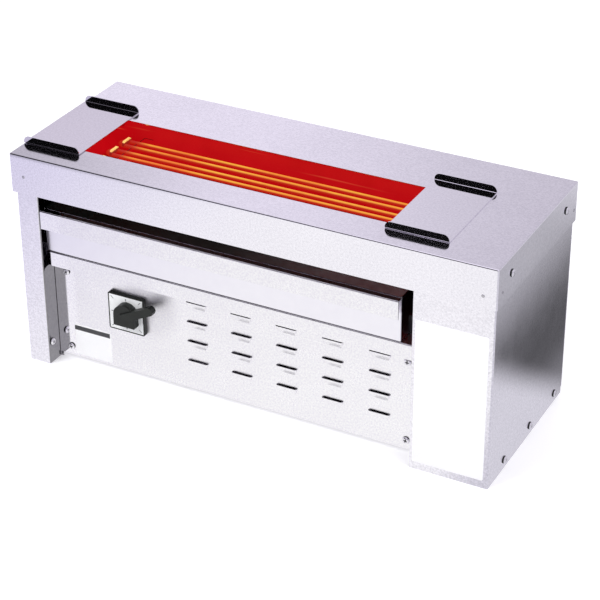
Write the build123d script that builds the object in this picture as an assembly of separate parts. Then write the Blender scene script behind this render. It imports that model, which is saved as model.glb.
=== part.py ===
from build123d import *
import os

# A table-top electric broiler in folded stainless sheet. While it is laid out, x runs from the left
# end of the cover, y from its front face to the rear, and z from the table. At the end every piece
# moves so that the origin is under the middle of the whole. All sizes are in millimetres.

# Sheet metal
sheet = 1.0
bend = 1.5            # outside radius of a folded corner
seat = 0.2            # gap between nested sheets
slide_fit = 0.3       # gap beside a piece that slides
bore_fit = 0.05       # gap all round a turning shaft

# Top cover with its long opening
width = 540.0
depth = 205.0
height = 245.0
flange_drop = 43.5
open_left = 36.0
open_short = 5.0       # opening's right end short of the wiring box's partition
open_front = 38.5
open_depth = 84.5

# Walls under the cover
left_gap = 4.0        # between the cover's left flange and the side panel
rear_gap = 4.0
leg_width = 25.5
panel_recess = 19.8   # front panel behind the legs' front faces
box_width = 84.8      # wiring box at the right
rear_lap = 14.0
front_lap = 25.5      # flanges behind the front panel
top_lap = 11.0
corner_cut = 5.0

# Tray shelf and base
shelf_z = 135.0
lip_drop = 17.0
lip_overhang = 11.7
notch_drop = 18.5     # top of the leg's return below the shelf
floor_gap = 5.0
base_up = 9.0

# Grill chamber under the opening
wall_gap = 2.5        # chamber walls back from the opening's edge
rim_gap = 3.0         # chamber walls above the tray's rim
heater_dia = 4.0
heater_drop = 18.0    # heater centre below the top of the cover
heater_step = 24.4    # from one hairpin to the next
heater_legs = 10.8    # between the two legs of one hairpin
heater_left = 67.5    # bend centre line's left end
heater_tail = 23.0    # heater end beyond the partition
support_x = 82.0
support_depth = 14.0  # comb below the heater's centre line
saddle_width = 2.6
saddle_high = 5.0
saddle_end = 2.2      # saddle beyond each leg
bushing_dia = 8.0
bushing_len = 6.0
stud_dia = 2.4
stud_len = 14.0
insulator_dia = 6.4
insulator_len = 4.0
link_gap = 2.0        # common bar beyond the ceramic beads
link_high = 7.0
link_rise = 6.0       # common bar's lower edge above the pins
link_foot = 4.0
link_tongue = 6.0

# Drip tray and its pull
tray_left = 1.0       # tray beside the left leg
tray_right = 14.8     # tray short of the wiring box
tray_height = 49.7
tray_depth = 140.5
pull_depth = 8.0
pull_drop = 20.8
pull_lap = 16.0
guide_gap = 0.4
guide_height = 20.0
guide_foot = 12.0
guide_front = 30.0

# End plates that slide along the opening
plate_width = 67.0
plate_front = 27.0
plate_depth = 116.0
plate_lip = 7.0
plate_round = 6.2      # lips rounded off over almost their whole height
right_plate_over = 28.5 # right plate beyond the opening's right end
tab_drop = 8.0
tab_length = 22.0
left_tab_x = 40.0
right_tab_x = 3.5

# Pressed louvres
louvre_cols = 5
louvre_rows = 4
louvre_width = 24.0
louvre_high = 7.0
louvre_proud = 2.6
louvre_col_pitch = 52.0
louvre_row_pitch = 23.3
louvre_right = 42.0   # last column from the wiring box
louvre_top = 24.6     # top row below the shelf
louvre_wall = 0.8

# Rotary switch
switch_x = 90.4       # centre from the left leg
switch_drop = 56.9    # centre below the shelf
bezel = 43.5
bezel_deep = 5.1
bezel_round = 2.0
bezel_rim = 1.3
insert_thick = 1.0
insert_sunk = 0.4
knob_width = 25.0
knob_shift = 2.4      # knob's middle from its axis, both ways
knob_deep = 9.0
lever_length = 43.0
lever_width = 9.0
lever_deep = 7.0
lever_lift = 4.0      # lever's rear face above the dial
lever_rest = 26.0     # lever above the horizontal, in degrees
lever_bevel = 2.5
shaft_dia = 6.0
shaft_ahead = 6.5
shaft_behind = 35.0
body_size = 38.0
body_deep = 45.0
body_groove = 0.8
terminal_in = 9.0

# Screws and rivets
screw_dia = 4.0
screw_head = 8.0
screw_head_high = 2.6
screw_len = 7.0
hole_dia = 4.2
rivet_dia = 3.6
rivet_high = 0.5
panel_screw_in = 15.5     # panel screws from the leg's return
panel_screw_right = 12.0  # panel screws from the wiring box
panel_screw_top = 27.0    # upper panel screws below the shelf
panel_screw_low = 10.4    # lower panel screws above the base
cover_screw_front = 33.7
cover_screw_rear = 30.8
cover_screw_drop = 19.0
side_screw_front = 20.6   # side screws from the front and rear walls
side_screw_rear = 21.0
rear_screw_low = 24.0
rear_screw_up = 50.0      # upper rear screws above the shelf
leg_screw_in = 6.0
leg_screw_z = 25.0
front_rivet_left = 10.4
front_rivet_right = 13.4
front_rivet_drop = 24.3
right_rivet_drop = 30.6
side_rivet_front = 11.7
side_rivet_rear = 7.9
side_rivet_drop = 29.0
bracket_z = 12.0
bracket_high = 32.0

# Wiring box
block_x = 20.0        # terminal block from the partition
block_len = 52.0
block_deep = 22.0
block_high = 20.0
block_rear = 42.0     # block's rear from the rear flanges
trough_in = 5.0
trough_deep = 6.0
gland_x = 46.0        # gland from the partition
gland_z = 40.0
gland_hex = 22.0
gland_bore = 9.0
gland_thread = 16.0
gland_thread_len = 9.0
gland_nut_thick = 4.0
gland_collar = 5.0
gland_cap = 7.0
lead_dia = 3.0
grommet_dia = 18.0
grommet_hole = 15.0
grommet_lip = 1.5
lane_step = 8.0
lane_behind = 29.0    # leads turn this far behind the switch
lane_ahead = 40.0     # leads line up this far before the partition
lead_rise = 33.0      # farthest lead rises beyond the heater pins
lead_drop = 18.0

# Planes that several pieces share
z_under = height - sheet
z_flange = height - flange_drop
x_left = sheet + left_gap
x_leg = x_left + leg_width
x_right = width - sheet - seat
x_box = x_right - box_width
x_part = x_box + sheet
y_front = sheet + seat
y_back = depth - sheet - rear_gap
y_frame = y_back - sheet
y_panel = y_front + panel_recess
y_lap = y_panel + sheet
z_floor = floor_gap + sheet
open_x1 = x_part - open_short
open_y1 = open_front + open_depth
z_heat = height - heater_drop
heater_mid = [open_front + open_depth / 2 + step * heater_step for step in (-1, 0, 1)]
heater_y = [y + side * heater_legs / 2 for y in heater_mid for side in (-1, 1)]
heater_end = x_part + sheet + heater_tail
saddle_x = heater_left + heater_legs / 2 + slide_fit
tray_x0 = x_leg + tray_left
tray_x1 = x_box - tray_right
tray_y0 = y_front + slide_fit + pull_depth
tray_y1 = tray_y0 + tray_depth
tray_z0 = shelf_z + slide_fit
tray_rim = tray_z0 + tray_height
chamber_z = tray_rim + rim_gap
chamber_x0 = open_left - wall_gap
chamber_y0 = open_front - wall_gap
chamber_y1 = open_y1 + wall_gap
sx = x_leg + switch_x
sz = shelf_z - switch_drop
y_bezel = y_panel - bezel_deep
y_skirt = y_bezel
block_y = y_frame - block_rear - block_deep
panel_z1 = shelf_z - sheet - seat / 2
flange_z1 = shelf_z - lip_drop - sheet

# Where the screws go
panel_screws = [
    (x, z)
    for x in (x_leg + panel_screw_in, x_box - panel_screw_right)
    for z in (shelf_z - panel_screw_top, z_floor + panel_screw_low)
]
cover_screws = [(y, height - cover_screw_drop) for y in (cover_screw_front, depth - cover_screw_rear)]
side_ends = (y_lap + side_screw_front, y_frame - side_screw_rear)
side_screws = [(y, z_floor + (base_up - sheet) / 2) for y in (side_ends[0], sum(side_ends) / 2, side_ends[1])]
rear_screws = [
    (x, z)
    for x in (x_left + rear_lap / 2, x_right - rear_lap / 2)
    for z in (rear_screw_low, shelf_z + rear_screw_up)
]
leg_screw_at = (y_front + leg_screw_in, leg_screw_z)
front_rivets = [
    (x_left + front_rivet_left, height - front_rivet_drop),
    (x_right - front_rivet_right, height - right_rivet_drop),
]
side_rivets = [(y, height - side_rivet_drop) for y in (side_rivet_front, depth - side_rivet_rear)]


def block(x0, x1, y0, y1, z0, z1):
    """A plain block between six planes."""
    middle = Pos((x0 + x1) / 2, (y0 + y1) / 2, (z0 + z1) / 2)
    return middle * Box(x1 - x0, y1 - y0, z1 - z0)


def fold(corners):
    """Section of a folded sheet. The corners give one face, and the sheet lies on their left."""
    radii = []
    for before, corner, after in zip(corners, corners[1:], corners[2:]):
        turn = (corner[0] - before[0]) * (after[1] - corner[1]) - (corner[1] - before[1]) * (after[0] - corner[0])
        radii.append(bend if turn > 0 else bend - sheet)
    line = FilletPolyline(*corners, radius=radii)
    return make_face(offset(line, amount=sheet, side=Side.LEFT, closed=True))


def fold_upright(corners, z0, z1):
    """Sheet with upright folds, drawn in plan."""
    return Pos(0, 0, z0) * extrude(fold(corners), amount=z1 - z0)


def fold_along(corners, x0, x1):
    """Sheet with folds along x, drawn from the right end as (y, z)."""
    return extrude(Plane.YZ.offset(x0) * fold(corners), amount=x1 - x0)


def rod(x, y, z, direction, diameter, ahead, behind=0.0):
    """A round bar along a direction, from behind the point to ahead of it."""
    long = ahead + behind
    plane = Plane(origin=(x, y, z), z_dir=direction)
    return plane * (Pos(0, 0, (ahead - behind) / 2) * Cylinder(diameter / 2, long))


def facing(sketch, y, thick):
    """A plate whose front face looks to -y, with its rear face at y."""
    return extrude(Plane.XZ.offset(-y) * sketch, amount=thick)


def pan_screw(x, y, z, direction):
    """Pan-head screw: the head's underside is at the point, and the head points along direction."""
    head = Pos(0, 0, screw_head_high / 2) * Cone(screw_head / 2, screw_head * 0.34, screw_head_high)
    shank = Pos(0, 0, -screw_len / 2) * Cylinder(screw_dia / 2, screw_len)
    return Plane(origin=(x, y, z), z_dir=direction) * (head + shank)


def rivet(x, y, z, direction):
    """Low rivet head on a face, with its shank through the cover's flange."""
    head = Pos(0, 0, rivet_high / 2) * Cone(rivet_dia / 2, rivet_dia * 0.36, rivet_high)
    shank_len = sheet + seat
    shank = Pos(0, 0, -shank_len / 2) * Cylinder(rivet_dia / 4, shank_len)
    return Plane(origin=(x, y, z), z_dir=direction) * (head + shank)


def top_cover():
    """Sheet with four flanges turned down, corners welded, and the grill opening."""
    outer = block(0, width, 0, depth, z_flange, height)
    outer = fillet(outer.edges().filter_by(Axis.Z), bend)
    outer = fillet(outer.edges().group_by(Axis.Z)[-1], bend)
    inner = block(sheet, width - sheet, sheet, depth - sheet, z_flange - sheet, z_under)
    inner = fillet(inner.edges().filter_by(Axis.Z), bend - sheet)
    inner = fillet(inner.edges().group_by(Axis.Z)[-1], bend - sheet)
    opening = block(open_left, open_x1, open_front, open_y1, z_under - sheet, height + sheet)
    opening = fillet(opening.edges().filter_by(Axis.Z), bend)
    cover = outer - inner - opening
    for y, z in cover_screws:
        cover -= rod(width, y, z, (1, 0, 0), hole_dia, 2 * sheet, 2 * sheet)
        cover -= rod(0, y, z, (1, 0, 0), hole_dia, 2 * sheet, 2 * sheet)
    for x, z in front_rivets:
        cover -= rod(x, 0, z, (0, 1, 0), rivet_dia / 2 + 0.1, 2 * sheet, sheet)
    for y, z in side_rivets:
        cover -= rod(width, y, z, (1, 0, 0), rivet_dia / 2 + 0.1, sheet, 2 * sheet)
    return cover


def left_side_panel():
    """Side, front leg, the leg's inner return and a flange behind the front panel, in one fold."""
    z_notch = shelf_z - notch_drop
    panel = fold_upright(
        [
            (x_left + rear_lap, y_frame),
            (x_left, y_frame),
            (x_left, y_front),
            (x_leg, y_front),
            (x_leg, y_lap),
            (x_leg + front_lap, y_lap),
        ],
        0,
        z_under - seat,
    )
    clear_x = x_leg + front_lap + sheet
    notch = block(x_leg - 3 * bend, clear_x, y_front + bend, y_lap + 2 * bend, z_notch - 2 * corner_cut, height)
    tongue = block(x_leg - 3 * bend, clear_x, y_front + bend, y_lap + 2 * bend, z_notch - 3 * corner_cut, z_notch)
    front_top = tongue.edges().filter_by(Axis.X).group_by(Axis.Z)[-1].sort_by(Axis.Y)[0]
    panel -= notch - fillet(front_top, corner_cut)
    panel -= block(x_leg + bend * 2, clear_x, y_panel, y_lap + 2 * sheet, flange_z1, height)
    panel -= block(x_leg + bend * 2, clear_x, y_panel, y_lap + 2 * sheet, -sheet, z_floor)
    panel += block(x_left + sheet, x_left + sheet + top_lap, y_panel, y_frame - 2 * bend, z_under - sheet, z_under)
    for y, z in cover_screws:
        panel -= rod(x_left, y, z, (1, 0, 0), hole_dia, 2 * sheet, sheet)
    for y, z in side_screws:
        panel -= rod(x_left, y, z, (1, 0, 0), hole_dia, 2 * sheet, sheet)
    for x, z in panel_screws[:2]:
        panel -= rod(x, y_lap, z, (0, 1, 0), hole_dia, 2 * sheet, sheet)
    for x, z in rear_screws[:2]:
        panel -= rod(x, y_frame, z, (0, 1, 0), hole_dia, sheet, 2 * sheet)
    panel -= rod(x_leg, *leg_screw_at, (1, 0, 0), hole_dia, sheet, 2 * sheet)
    panel -= rod(front_rivets[0][0], y_front, front_rivets[0][1], (0, 1, 0), rivet_dia, 2 * sheet, sheet)
    return panel


def right_side_cover():
    """Front, side and rear of the wiring box with a return to the front panel, in one fold."""
    cover = fold_upright(
        [
            (x_box, y_lap),
            (x_box, y_front),
            (x_right, y_front),
            (x_right, y_frame),
            (x_right - rear_lap, y_frame),
        ],
        0,
        z_under - seat,
    )
    x1 = x_right - sheet
    cover += block(x1 - top_lap, x1, y_panel, y_frame - 2 * bend, z_under - sheet, z_under)
    for y, z in cover_screws:
        cover -= rod(x_right, y, z, (1, 0, 0), hole_dia, sheet, 2 * sheet)
    for y, z in side_screws:
        cover -= rod(x_right, y, z, (1, 0, 0), hole_dia, sheet, 2 * sheet)
    for x, z in rear_screws[2:]:
        cover -= rod(x, y_frame, z, (0, 1, 0), hole_dia, sheet, 2 * sheet)
    for y, z in side_rivets:
        cover -= rod(x_right, y, z, (1, 0, 0), rivet_dia, sheet, 2 * sheet)
    x, z = front_rivets[1]
    cover -= rod(x, y_front, z, (0, 1, 0), rivet_dia, 2 * sheet, sheet)
    return cover


def lead_lanes():
    """The (y, z) of the four leads where they cross the partition."""
    y0 = y_lap + body_deep + lane_behind
    z0 = sz - lane_step / 2
    return [(y0 + lane_step, z0), (y0, z0), (y0 + lane_step, z0 + lane_step), (y0, z0 + lane_step)]


def lane_middle():
    """Centre of the cable hole in the partition."""
    lanes = lead_lanes()
    return sum(y for y, z in lanes) / 4, sum(z for y, z in lanes) / 4


def partition():
    """Wall between the tray bay and the wiring box, with heater holes and one cable hole."""
    wall = fold_upright(
        [
            (x_box - front_lap + bend, y_lap),
            (x_part + sheet, y_lap),
            (x_part + sheet, y_frame),
            (x_box - rear_lap, y_frame),
        ],
        z_floor,
        z_under,
    )
    wall -= block(x_box - front_lap, x_part, y_panel, y_lap + 3 * bend, flange_z1, height)
    z_base = floor_gap + base_up + seat
    wall -= block(x_part - sheet, x_part + 2 * sheet, y_lap + sheet, y_lap + 2 * sheet + seat, 0, z_base)
    wall -= block(x_part - sheet, x_part + 2 * sheet, y_frame - 2 * sheet - seat, y_frame - sheet, 0, z_base)
    for y in heater_y:
        wall -= rod(x_part, y, z_heat, (1, 0, 0), heater_dia + 2 * bore_fit, 2 * sheet, sheet)
    for x, z in panel_screws[2:]:
        wall -= rod(x, y_lap, z, (0, 1, 0), hole_dia, 2 * sheet, sheet)
    y, z = lane_middle()
    wall -= rod(x_part, y, z, (1, 0, 0), grommet_hole, 2 * sheet, sheet)
    return wall


def base_plate():
    """Shallow pan that closes the underside and ties the sides together."""
    x0 = x_left + sheet
    x1 = x_right - sheet
    y0 = y_lap + sheet
    y1 = y_frame - sheet
    outer = block(x0, x1, y0, y1, floor_gap, floor_gap + base_up)
    inner = block(x0 + sheet, x1 - sheet, y0 + sheet, y1 - sheet, z_floor, floor_gap + 2 * base_up)
    base = fillet(outer.edges().filter_by(Axis.Z), bend) - fillet(inner.edges().filter_by(Axis.Z), bend - sheet)
    for y, z in side_screws:
        base -= rod(x0, y, z, (1, 0, 0), hole_dia, 2 * sheet, sheet)
        base -= rod(x1, y, z, (1, 0, 0), hole_dia, sheet, 2 * sheet)
    for x, z in panel_screws:
        base -= rod(x, y0, z, (0, 1, 0), hole_dia, 2 * sheet, sheet)
    for x, z in rear_screws:
        base -= rod(x, y1, z, (0, 1, 0), hole_dia, sheet, 2 * sheet)
    return base


def louvre(outside):
    """One pressed hood, open upwards: rounded ends, a face in two slopes, its slit along the top."""
    inset = 0.0 if outside else louvre_wall
    reach = louvre_proud - inset
    low = -louvre_high + 1.4 * inset
    top = 0.0 if outside else louvre_wall
    back = 0.0 if outside else sheet * 1.5
    end_face = make_face(Polyline((0, low), (reach * 0.8, low * 0.35), (reach, 0), (0, 0), (0, low)))
    if not outside:
        end_face += make_face(Polyline((0, 0), (reach, 0), (reach, top), (0, top), (0, 0)))
    ends = revolve(Plane.XZ * end_face, Axis.Z, 180)
    run = louvre_width - 2 * louvre_proud
    long_face = end_face
    if back:
        long_face += make_face(Polyline((0, low), (0, top), (-back, top), (-back, low), (0, low)))
    middle = extrude(Plane.YZ.offset(-run / 2) * Pos(0, 0) * mirror(long_face, Plane.YZ), amount=run)
    left = Pos(-run / 2, 0, 0) * Rot(0, 0, -180) * ends
    right = Pos(run / 2, 0, 0) * Rot(0, 0, -180) * ends
    return middle + left + right


def front_panel():
    """Recessed panel with rows of louvres, the switch hole and a flange under the shelf."""
    x0 = x_leg + bend - sheet
    x1 = x_box - bend + sheet
    panel = fold_along([(y_lap + top_lap, panel_z1), (y_panel, panel_z1), (y_panel, z_floor)], x0, x1)
    spots = []
    for row in range(louvre_rows):
        for col in range(louvre_cols):
            x = x_box - louvre_right - col * louvre_col_pitch
            z = shelf_z - louvre_top - row * louvre_row_pitch
            spots.append(Pos(x, y_panel, z))
    hood = louvre(True)
    hollow = louvre(False)
    panel = panel + [spot * hood for spot in spots]
    panel = panel - [spot * hollow for spot in spots]
    for x, z in panel_screws:
        panel -= rod(x, y_panel, z, (0, 1, 0), hole_dia, 2 * sheet, sheet)
    panel -= rod(sx, y_panel, sz, (0, 1, 0), shaft_dia * 2, 2 * sheet, sheet)
    return panel


def tray_shelf():
    """Shelf under the drip tray; its front edge turns down to cover the top of the front panel."""
    y0 = y_panel - lip_overhang
    y1 = y_frame - sheet
    x0 = x_left + bend
    x1 = x_part + sheet - bend
    corners = [(y1, shelf_z - lip_drop), (y1, shelf_z), (y0, shelf_z), (y0, shelf_z - lip_drop)]
    shelf = fold_along(corners, x0, x1)
    front = y_lap + 2 * sheet
    shelf -= block(x0 - sheet, x_leg + seat, 0, front, shelf_z - 2 * lip_drop, shelf_z + sheet)
    shelf -= block(x_box - seat, x1 + sheet, 0, front, shelf_z - 2 * lip_drop, shelf_z + sheet)
    return shelf


def rear_panel():
    """Flat rear wall on the rear flanges, with the gland hole."""
    panel = block(x_left + seat, x_right - seat, y_frame, y_back, z_floor, z_under - seat)
    panel = fillet(panel.edges().filter_by(Axis.Y), bend)
    for x, z in rear_screws:
        panel -= rod(x, y_back, z, (0, 1, 0), hole_dia, sheet, 2 * sheet)
    panel -= rod(x_part + gland_x, y_back, gland_z, (0, 1, 0), gland_thread + 2 * seat, sheet, 2 * sheet)
    return panel


def chamber_front_wall():
    """Wall in front of the heaters, hung from the cover by a turned flange."""
    corners = [
        (chamber_y0, chamber_z),
        (chamber_y0, z_under),
        (chamber_y0 - sheet - top_lap, z_under),
    ]
    return fold_along(corners, chamber_x0, x_part)


def chamber_rear_wall():
    """Wall behind the heaters, hung from the cover by a turned flange."""
    corners = [
        (chamber_y1 + sheet + top_lap, z_under),
        (chamber_y1, z_under),
        (chamber_y1, chamber_z),
    ]
    return fold_along(corners, chamber_x0, x_part)


def chamber_left_wall():
    """Left end of the chamber, hung from the cover by a turned flange."""
    corners = [
        (chamber_x0 - sheet - top_lap, z_under - sheet),
        (chamber_x0 - sheet, z_under - sheet),
        (chamber_x0 - sheet, chamber_z),
    ]
    return facing(fold(corners), chamber_y1 + sheet, chamber_y1 - chamber_y0 + 2 * sheet)


def heater_tube(pair):
    """Hairpin of sheathed heater tube: two legs and a half-turn at the left."""
    y0 = heater_y[2 * pair]
    y1 = heater_y[2 * pair + 1]
    turn = (y1 - y0) / 2
    x0 = heater_left + turn
    legs = Line((heater_end, y0, z_heat), (x0, y0, z_heat))
    legs += ThreePointArc((x0, y0, z_heat), (heater_left, y0 + turn, z_heat), (x0, y1, z_heat))
    legs += Line((x0, y1, z_heat), (heater_end, y1, z_heat))
    start = Plane(origin=(heater_end, y0, z_heat), z_dir=(-1, 0, 0))
    return sweep(start * Circle(heater_dia / 2), path=legs)


def heater_support():
    """Comb across the chamber whose round notches carry the heater legs."""
    x0 = support_x + heater_dia / 2
    corners = [
        (x0 + top_lap, chamber_y0),
        (x0, chamber_y0),
        (x0, chamber_y1),
        (x0 + top_lap, chamber_y1),
    ]
    line = FilletPolyline(*corners, radius=bend)
    comb = make_face(offset(line, amount=sheet, side=Side.RIGHT, closed=True))
    comb = Pos(0, 0, z_heat - support_depth) * extrude(comb, amount=support_depth)
    for y in heater_y:
        comb -= rod(x0, y, z_heat, (1, 0, 0), heater_dia + 2 * bore_fit, 2 * sheet, sheet)
    return comb


def heater_bushings():
    """Threaded collars that hold the legs in the partition."""
    pieces = []
    x0 = x_part + sheet
    for y in heater_y:
        collar = rod(x0, y, z_heat, (1, 0, 0), bushing_dia, bushing_len)
        pieces.append(collar - rod(x0, y, z_heat, (1, 0, 0), heater_dia + 2 * bore_fit, bushing_len + 1, 1))
    return pieces


def heater_saddles():
    """Ceramic saddles astride the hairpins' legs, one near each bend."""
    pieces = []
    for y in heater_mid:
        reach = heater_legs / 2 + saddle_end
        saddle = block(saddle_x, saddle_x + saddle_width, y - reach, y + reach, z_heat, z_heat + saddle_high)
        saddle = chamfer(saddle.edges().filter_by(Axis.X).group_by(Axis.Z)[-1], saddle_end)
        for side in (-1, 1):
            leg = rod(saddle_x, y + side * heater_legs / 2, z_heat, (1, 0, 0), heater_dia + 2 * bore_fit, 9, 9)
            saddle -= leg
        pieces.append(saddle)
    return pieces


def heater_insulators():
    """Ceramic beads at the ends of the legs."""
    pieces = []
    for y in heater_y:
        bead = rod(heater_end, y, z_heat, (1, 0, 0), insulator_dia, insulator_len)
        pieces.append(bead - rod(heater_end, y, z_heat, (1, 0, 0), stud_dia + 2 * bore_fit, 2 * insulator_len, 1))
    return pieces


def heater_studs():
    """Terminal pins of the heaters."""
    return [rod(heater_end, y, z_heat, (1, 0, 0), stud_dia, stud_len) for y in heater_y]


def heater_link():
    """Common bar with a tongue to every second terminal pin."""
    x0 = heater_end + insulator_len + link_gap
    half = link_tongue / 2
    z_bar = z_heat + link_rise
    bar = block(x0, x0 + sheet, heater_y[1] - half, heater_y[5] + half, z_bar, z_bar + link_high)
    for y in heater_y[1::2]:
        bar += block(x0, x0 + sheet, y - half, y + half, z_heat - link_foot, z_bar)
    for y in heater_y[1::2]:
        bar -= rod(x0, y, z_heat, (1, 0, 0), stud_dia + 2 * bore_fit, 2 * sheet, sheet)
    return bar


def tray_guide(x, side):
    """Angle beside the tray with a turned stop at its rear end; side is -1 left or 1 right."""
    stop = tray_y1 + slide_fit
    inner = block(min(x, x + side * sheet), max(x, x + side * sheet), guide_front, stop, shelf_z,
                  shelf_z + guide_height)
    x_foot = x + side * (sheet + guide_foot)
    foot = block(min(x, x_foot), max(x, x_foot), guide_front, stop, shelf_z, shelf_z + sheet)
    foot = fillet(foot.edges().filter_by(Axis.Z).sort_by(Axis.X)[0 if side < 0 else -1], 2 * bend)
    x_stop = x - side * guide_foot
    back = block(min(x_stop, x + side * sheet), max(x_stop, x + side * sheet), stop, stop + sheet, shelf_z,
                 shelf_z + guide_height)
    return inner + foot + back


def drip_tray_pan():
    """Open pan with rounded corners."""
    outer = block(tray_x0, tray_x1, tray_y0, tray_y1, tray_z0, tray_rim)
    outer = fillet(outer.edges().filter_by(Axis.Z), bend)
    outer = fillet(outer.edges().group_by(Axis.Z)[0], bend)
    inner = block(
        tray_x0 + sheet, tray_x1 - sheet, tray_y0 + sheet, tray_y1 - sheet, tray_z0 + sheet, tray_rim + sheet
    )
    inner = fillet(inner.edges().filter_by(Axis.Z), bend - sheet / 2)
    inner = fillet(inner.edges().group_by(Axis.Z)[0], bend - sheet / 2)
    return outer - inner


def tray_pull():
    """Upside-down channel along the tray's front: fingers go up behind its lip."""
    y0 = tray_y0 - pull_depth
    corners = [
        (tray_y0, tray_rim - pull_lap),
        (tray_y0, tray_rim),
        (y0, tray_rim),
        (y0, tray_rim - pull_drop),
    ]
    return fold_along(corners, tray_x0, tray_x1)


def end_plate(x0, tab_x):
    """Channel-shaped plate over the opening, with tabs below that run inside its edges."""
    y1 = plate_front + plate_depth
    base_z = height
    top = base_z + sheet + plate_lip
    corners = [(plate_front, top), (plate_front, base_z), (y1, base_z), (y1, top)]
    plate = fold_along(corners, x0, x0 + plate_width)
    tips = plate.edges().filter_by(Axis.Y).group_by(Axis.Z)[-1]
    plate = fillet(tips, plate_round)
    t0 = x0 + tab_x
    for y in (open_front + slide_fit, open_y1 - slide_fit - sheet):
        tab = block(t0, t0 + tab_length, y, y + sheet, base_z - tab_drop, base_z)
        plate += fillet(tab.edges().filter_by(Axis.Y).group_by(Axis.Z)[0], plate_round / 2)
    return plate


def switch_bezel():
    """Square face frame with a sunk seat for the dial."""
    frame = facing(Pos(sx, sz) * RectangleRounded(bezel, bezel, bezel_round), y_panel, bezel_deep)
    frame = chamfer(frame.faces().sort_by(Axis.Y)[0].edges(), 0.5)
    deep = insert_sunk + insert_thick
    inside = bezel - 2 * bezel_rim
    room = facing(Pos(sx, sz) * Rectangle(inside, inside), y_bezel + deep, deep + 1)
    hole = rod(sx, y_panel, sz, (0, 1, 0), shaft_dia * 1.5, 1, bezel_deep + 1)
    return frame - room - hole


def switch_dial():
    """Dial plate in the face frame."""
    y1 = y_bezel + insert_sunk + insert_thick
    inside = bezel - 2 * bezel_rim - seat
    plate = facing(Pos(sx, sz) * Rectangle(inside, inside), y1, insert_thick)
    return plate - rod(sx, y1, sz, (0, 1, 0), shaft_dia * 1.5, 1, insert_thick + 1)


def switch_knob():
    """Knob with a round top and a flat foot, and a long lever with a bevelled tip."""
    arch = Circle(knob_width / 2) + Pos(0, -knob_width / 4) * Rectangle(knob_width, knob_width / 2)
    knob = facing(Pos(sx + knob_shift, sz + knob_shift) * arch, y_skirt, knob_deep)
    lever = Pos(lever_length / 2, 0) * Rectangle(lever_length, lever_width)
    lever = chamfer(lever.vertices().group_by(Axis.X)[-1], lever_bevel)
    lever = Pos(sx, sz) * Rot(0, 0, lever_rest) * lever
    knob += facing(lever, y_skirt - lever_lift, lever_deep)
    bore = rod(sx, y_skirt, sz, (0, 1, 0), shaft_dia + 0.04, 1, shaft_ahead + seat)
    return knob - bore


def switch_shaft():
    """Shaft from the switch body into the knob."""
    return rod(sx, y_bezel, sz, (0, -1, 0), shaft_dia, shaft_ahead, bezel_deep + sheet + shaft_behind)


def switch_body():
    """Stacked switch chambers behind the panel."""
    body = facing(Pos(sx, sz) * RectangleRounded(body_size, body_size, bezel_round), y_lap + body_deep, body_deep)
    for step in range(1, 4):
        y = y_lap + body_deep * step / 4
        core = body_size - 2 * body_groove
        ring = facing(Pos(sx, sz) * Rectangle(body_size + 2, body_size + 2), y, 1.2)
        ring -= facing(Pos(sx, sz) * Rectangle(core, core), y + 1, 3)
        body -= ring
    return body - rod(sx, y_lap, sz, (0, 1, 0), shaft_dia + 2 * bore_fit, shaft_behind + seat, 1)


def leg_bracket():
    """Angle inside the front leg that takes the screw in the leg's return."""
    corners = [(x_left + 4 * bend, y_front + sheet), (x_leg - sheet, y_front + sheet), (x_leg - sheet, y_panel - bend)]
    angle = fold_upright(corners, bracket_z, bracket_z + bracket_high)
    return angle - rod(x_leg, *leg_screw_at, (1, 0, 0), hole_dia, sheet, 4 * sheet)


def terminal_block():
    """Moulded block with a trough for the screws of its three ways."""
    x0 = x_part + sheet + block_x
    y1 = block_y + block_deep
    z1 = z_floor + block_high
    body = block(x0, x0 + block_len, block_y, y1, z_floor, z1)
    step = block_len / 3
    for way in range(3):
        x = x0 + step * (way + 0.5)
        body -= block(x - step / 3, x + step / 3, block_y + trough_in, y1 - trough_in, z1 - trough_deep, z1 + 1)
    return body


def cable_gland():
    """Gland body on the rear panel: hexagon, rounded cap and a thread through the panel."""
    x = x_part + gland_x
    hexagon = extrude(
        Plane(origin=(x, y_back, gland_z), z_dir=(0, 1, 0)) * RegularPolygon(gland_hex / 2, 6, major_radius=False),
        amount=gland_collar,
    )
    cap = rod(x, y_back + gland_collar, gland_z, (0, 1, 0), gland_hex - 2, gland_cap)
    cap = chamfer(cap.edges().group_by(Axis.Y)[-1], gland_cap / 3)
    thread = rod(x, y_back, gland_z, (0, -1, 0), gland_thread, gland_thread_len)
    bore = rod(x, y_back, gland_z, (0, 1, 0), gland_bore, gland_collar + gland_cap + 1, gland_thread_len + 1)
    return hexagon + cap + thread - bore


def gland_nut():
    """Nut on the gland's thread inside the rear panel."""
    x = x_part + gland_x
    nut = extrude(
        Plane(origin=(x, y_frame, gland_z), z_dir=(0, -1, 0)) * RegularPolygon(gland_hex / 2, 6, major_radius=False),
        amount=gland_nut_thick,
    )
    return nut - rod(x, y_frame, gland_z, (0, 1, 0), gland_thread + 2 * bore_fit, 1, gland_nut_thick + 1)


def grommet():
    """Rubber ring in the partition's cable hole."""
    y, z = lane_middle()
    lip = rod(x_part + sheet, y, z, (1, 0, 0), grommet_dia, grommet_lip)
    core = rod(x_part, y, z, (1, 0, 0), grommet_hole - 2 * bore_fit, sheet + grommet_lip, grommet_lip)
    back = rod(x_part, y, z, (-1, 0, 0), grommet_dia, grommet_lip)
    ring = lip + core + back
    for ly, lz in lead_lanes():
        ring -= rod(x_part, ly, lz, (1, 0, 0), lead_dia + 2 * bore_fit, 4, 3)
    return ring


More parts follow.
